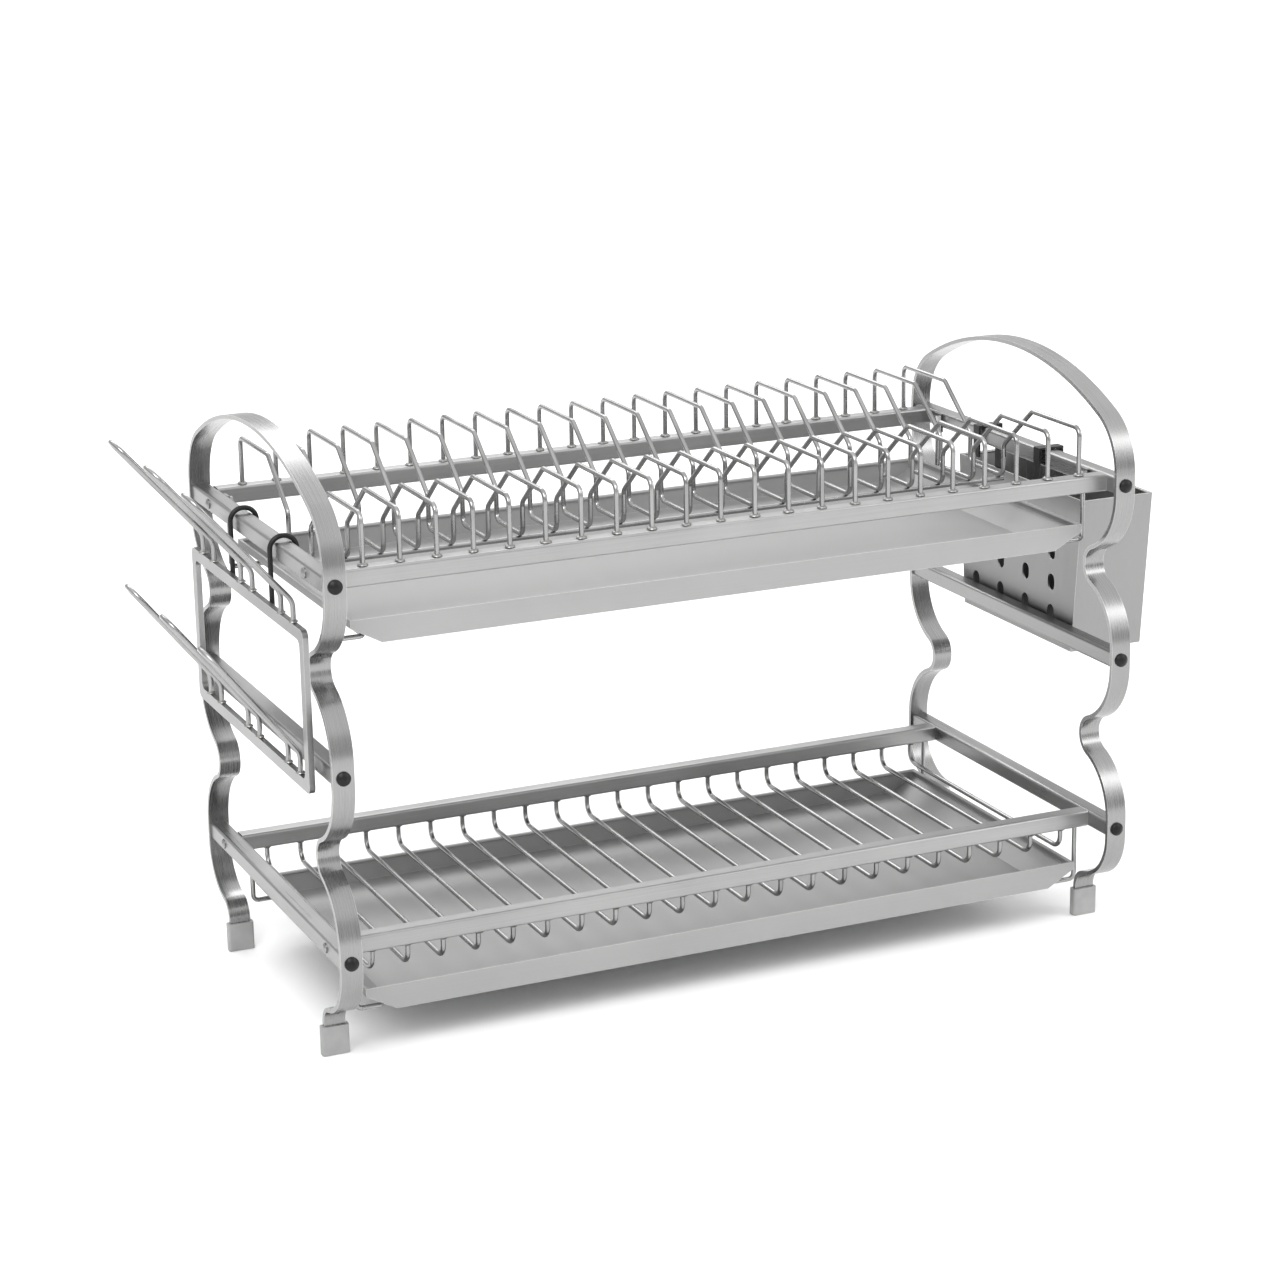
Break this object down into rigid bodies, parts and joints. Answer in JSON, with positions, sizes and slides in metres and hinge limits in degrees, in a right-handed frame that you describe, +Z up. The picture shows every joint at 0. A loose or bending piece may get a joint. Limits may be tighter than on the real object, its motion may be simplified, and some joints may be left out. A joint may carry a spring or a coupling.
{
  "type": "dish drying rack",
  "caption": "Two-tier metal dish drying rack with wavy strip legs, a row of plate wires, a wire basket tier, slide-out drip trays, a hung cup rack and a hung cutlery box.",
  "frame": {"origin": "middle of the whole object's footprint, on the surface it stands on", "axes": "+X along the rack towards the cutlery box, -Y towards the front where the trays pull out, +Z up"},
  "size_m": [0.7206, 0.2994, 0.4072],
  "materials": {
    "frame_strip": "satin",
    "rail_tube": "satin",
    "wire": "polished",
    "tray_sheet": "brushed",
    "box_sheet": "brushed",
    "rack_bar": "satin",
    "cap_plastic": "matte",
    "screw_black": "satin black",
    "fixing_steel": "plain",
    "hook_steel": "dark satin"
  },
  "bodies": {
    "frame": {"basket_wires": "wire", "hanger_screws_and_nuts": "fixing_steel", "left_front_foot_cap": "cap_plastic", "left_rear_foot_cap": "cap_plastic", "left_side_frame": "frame_strip", "leg_screws": "screw_black", "lower_front_rail": "rail_tube", "lower_left_end_rail": "rail_tube", "lower_left_tray_hanger": "wire", "lower_rail_screws": "fixing_steel", "lower_rear_rail": "rail_tube", "lower_right_end_rail": "rail_tube", "lower_right_tray_hanger": "wire", "mid_left_end_rail": "rail_tube", "mid_right_end_rail": "rail_tube", "plate_tie_rod": "wire", "plate_wire_01": "wire", "plate_wire_02": "wire", "plate_wire_03": "wire", "plate_wire_04": "wire", "plate_wire_05": "wire", "plate_wire_06": "wire", "plate_wire_07": "wire", "plate_wire_08": "wire", "plate_wire_09": "wire", "plate_wire_10": "wire", "plate_wire_11": "wire", "plate_wire_12": "wire", "plate_wire_13": "wire", "plate_wire_14": "wire", "plate_wire_15": "wire", "plate_wire_16": "wire", "plate_wire_17": "wire", "plate_wire_18": "wire", "plate_wire_19": "wire", "plate_wire_20": "wire", "plate_wire_21": "wire", "plate_wire_22": "wire", "rail_end_inserts": "fixing_steel", "right_front_foot_cap": "cap_plastic", "right_rear_foot_cap": "cap_plastic", "right_side_frame": "frame_strip", "upper_front_rail": "rail_tube", "upper_left_end_rail": "rail_tube", "upper_left_tray_hanger": "wire", "upper_rear_rail": "rail_tube", "upper_right_end_rail": "rail_tube", "upper_right_tray_hanger": "wire"},
    "upper_tray": {"upper_drip_tray": "tray_sheet"},
    "lower_tray": {"lower_drip_tray": "tray_sheet"},
    "cup_rack": {"cup_rack_frame": "rack_bar", "cup_rack_hooks": "hook_steel", "lower_front_cup_loop": "wire", "lower_middle_cup_loop": "wire", "lower_rear_cup_loop": "wire", "upper_front_cup_loop": "wire", "upper_middle_cup_loop": "wire", "upper_rear_cup_loop": "wire"},
    "cutlery": {"cutlery_box": "box_sheet", "cutlery_box_hooks": "hook_steel"}
  },
  "joints": [
    {"name": "upper_tray_slide", "type": "slide", "parent": "frame", "child": "upper_tray", "axis": [0, -1, 0], "range_m": [0, 0.24]},
    {"name": "lower_tray_slide", "type": "slide", "parent": "frame", "child": "lower_tray", "axis": [0, -1, 0], "range_m": [0, 0.24]},
    {"name": "cup_rack_lift", "type": "slide", "parent": "frame", "child": "cup_rack", "axis": [0, 0, 1], "range_m": [0, 0.03]},
    {"name": "cutlery_box_lift", "type": "slide", "parent": "frame", "child": "cutlery", "axis": [0, 0, 1], "range_m": [0, 0.03]}
  ]
}
